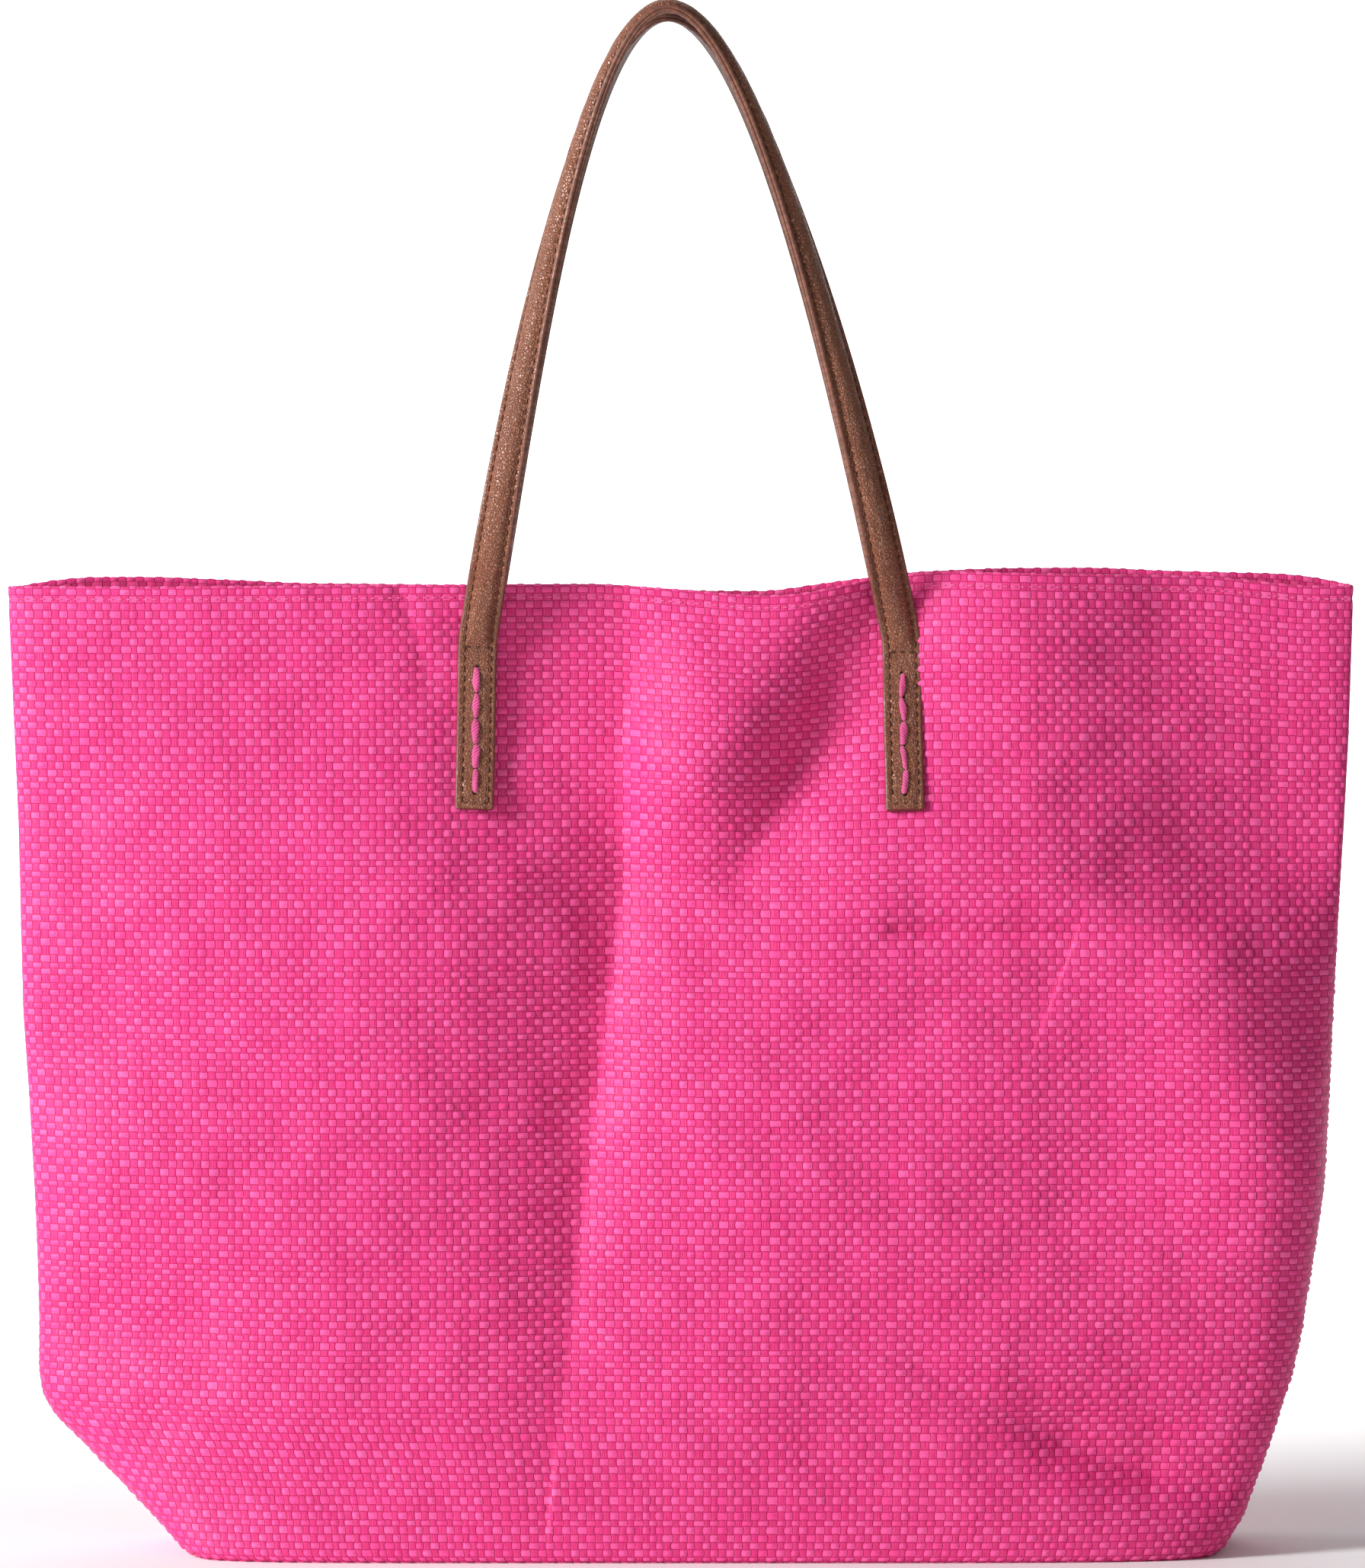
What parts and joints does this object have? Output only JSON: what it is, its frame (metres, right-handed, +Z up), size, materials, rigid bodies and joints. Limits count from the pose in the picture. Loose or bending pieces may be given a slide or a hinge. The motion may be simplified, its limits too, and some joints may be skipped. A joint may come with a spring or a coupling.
{
  "type": "beach bag",
  "caption": "Open-top beach tote of woven straw-look cloth with a boxed base and two padded strap handles on laced tabs.",
  "frame": {"origin": "middle of the underside of the base, on the ground", "axes": "X to the right along the rim, Y to the back, Z up; the pictured side faces -Y"},
  "size_m": [0.5306, 0.13, 0.6098],
  "materials": {
    "woven_cloth": "hot pink straw-look tape in a plain weave, satin",
    "facing_cloth": "the same woven tape cloth inside the rim",
    "lining_cloth": "plain woven cotton",
    "binding_tape": "twill tape",
    "rim_thread": "pink sewing thread",
    "yarn": "soft pink yarn",
    "reinforcement_cloth": "stiff cotton canvas",
    "strap_leather": "brown grained leather, satin, fine creases",
    "backing_leather": "brown leather, matt",
    "padding": "soft felt roll",
    "strap_thread": "rust brown waxed thread"
  },
  "bodies": {
    "bag": {"front_panel": "woven_cloth", "back_panel": "woven_cloth", "front_facing": "facing_cloth", "back_facing": "facing_cloth", "front_lining": "lining_cloth", "back_lining": "lining_cloth", "left_seam_binding": "binding_tape", "right_seam_binding": "binding_tape", "base_seam_binding": "binding_tape", "left_corner_binding": "binding_tape", "right_corner_binding": "binding_tape", "front_rim_stitching": "rim_thread", "back_rim_stitching": "rim_thread", "front_left_tab_face": "strap_leather", "front_left_tab_backing": "backing_leather", "front_left_tab_stitching": "strap_thread", "front_left_lacing": "yarn", "front_left_reinforcement": "reinforcement_cloth", "front_right_tab_face": "strap_leather", "front_right_tab_backing": "backing_leather", "front_right_tab_stitching": "strap_thread", "front_right_lacing": "yarn", "front_right_reinforcement": "reinforcement_cloth", "back_left_tab_face": "strap_leather", "back_left_tab_backing": "backing_leather", "back_left_tab_stitching": "strap_thread", "back_left_lacing": "yarn", "back_left_reinforcement": "reinforcement_cloth", "back_right_tab_face": "strap_leather", "back_right_tab_backing": "backing_leather", "back_right_tab_stitching": "strap_thread", "back_right_lacing": "yarn", "back_right_reinforcement": "reinforcement_cloth"},
    "front_handle": {"front_strap_face": "strap_leather", "front_strap_core": "padding", "front_strap_backing": "backing_leather", "front_strap_stitching": "strap_thread"},
    "back_handle": {"back_strap_face": "strap_leather", "back_strap_core": "padding", "back_strap_backing": "backing_leather", "back_strap_stitching": "strap_thread"}
  },
  "joints": [
    {"name": "front_handle_swing", "type": "hinge", "parent": "bag", "child": "front_handle", "pos_m": [0, -0.0237, 0.3576], "axis": [1, 0, 0], "range_deg": [0, 170]},
    {"name": "back_handle_swing", "type": "hinge", "parent": "bag", "child": "back_handle", "pos_m": [0, 0.0238, 0.3576], "axis": [-1, 0, 0], "range_deg": [0, 170]}
  ]
}
